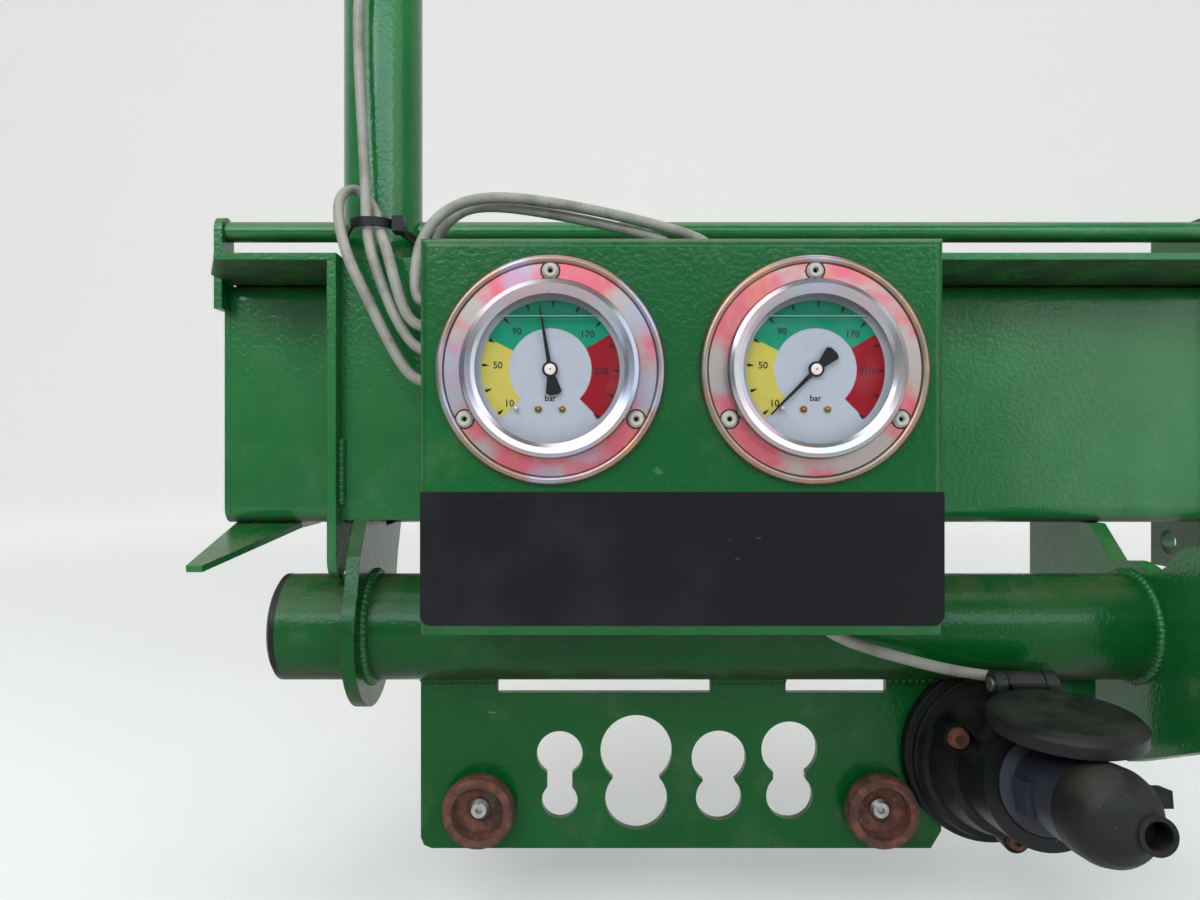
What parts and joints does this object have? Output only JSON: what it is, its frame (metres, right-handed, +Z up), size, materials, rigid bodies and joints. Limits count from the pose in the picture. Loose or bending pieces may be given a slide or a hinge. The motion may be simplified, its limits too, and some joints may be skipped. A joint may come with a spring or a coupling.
{
  "type": "gauge and coupling station of a bale wrapper frame",
  "caption": "Steel cross beam section with a folded box for liquid-filled pressure gauges, a keyhole rack for hose couplings and a parking socket with its lid and plug.",
  "frame": {"origin": "centre of the cross beam's rear face, where it bolts or welds to the machine", "axes": "+X along the beam to the viewer's right, +Y rearwards into the machine, +Z up"},
  "size_m": [0.511, 0.2045, 0.436],
  "materials": {
    "green_paint": "glossy with light orange peel, dust and scratches",
    "rack_paint": "glossy, thin runs and dust",
    "stainless": "polished, slightly tarnished",
    "dial_face": "matt print in four colours",
    "pointer_black": "matt",
    "window_clear": "clear",
    "brass": "satin",
    "strip_black": "satin film, scuffed",
    "black_plastic": "dusty, moulded",
    "boot_rubber": "dusty",
    "cable_grey": "matt PVC, dusty",
    "rusty_steel": "rust all over",
    "zinc": "dull zinc"
  },
  "bodies": {
    "frame": {"beam": "green_paint", "beam_end_plate": "green_paint", "top_plate": "green_paint", "gusset": "green_paint", "closure_plate": "green_paint", "folded_ear": "green_paint", "cross_tube": "green_paint", "tube_lug": "green_paint", "drawbar_cheek": "green_paint", "end_flange": "green_paint", "rod": "green_paint", "rod_lug": "green_paint", "post": "green_paint", "gauge_box": "green_paint", "rack_plate": "rack_paint", "socket_plate": "rack_paint", "case_left": "stainless", "case_right": "stainless", "gauge_flange_left": "stainless", "gauge_flange_right": "stainless", "bezel_left": "stainless", "bezel_right": "stainless", "rivets_left": "stainless", "rivets_right": "stainless", "dial_left": "dial_face", "dial_right": "dial_face", "window_left": "window_clear", "window_right": "window_clear", "union_left": "brass", "union_right": "brass", "strip": "strip_black", "tube_cap": "black_plastic", "post_cap": "black_plastic", "socket_body": "black_plastic", "cable_tie": "black_plastic", "socket_boot": "boot_rubber", "grommets": "boot_rubber", "cable_feed": "cable_grey", "cable_loop": "cable_grey", "cable_arc_outer": "cable_grey", "cable_arc_inner": "cable_grey", "cable_socket": "cable_grey", "cups": "rusty_steel", "socket_screws": "rusty_steel", "box_bolts": "zinc", "cup_rivets": "zinc", "lid_pin": "zinc"},
    "pointer_left": {"pointer_left": "pointer_black"},
    "pointer_right": {"pointer_right": "pointer_black"},
    "lid": {"socket_lid": "black_plastic"},
    "plug": {"plug_body": "black_plastic", "plug_boot": "black_plastic"}
  },
  "joints": [
    {"name": "pointer_left_turn", "type": "hinge", "parent": "frame", "child": "pointer_left", "pos_m": [-0.0828, -0.1762, 0.0063], "axis": [0, 1, 0], "range_deg": [-125.6, 144.4]},
    {"name": "pointer_right_turn", "type": "hinge", "parent": "frame", "child": "pointer_right", "pos_m": [0.0148, -0.1762, 0.0063], "axis": [0, 1, 0], "range_deg": [0, 270]},
    {"name": "lid_hinge", "type": "hinge", "parent": "frame", "child": "lid", "pos_m": [0.1145, -0.12638, -0.12259], "axis": [-1, 0, 0], "range_deg": [0, 25], "stiffness_Nm_per_rad": 0.02, "springref_deg": -34.38},
    {"name": "plug_slide", "type": "slide", "parent": "frame", "child": "plug", "axis": [0, -0.9925, 0.1219], "range_m": [0, 0.024]}
  ]
}
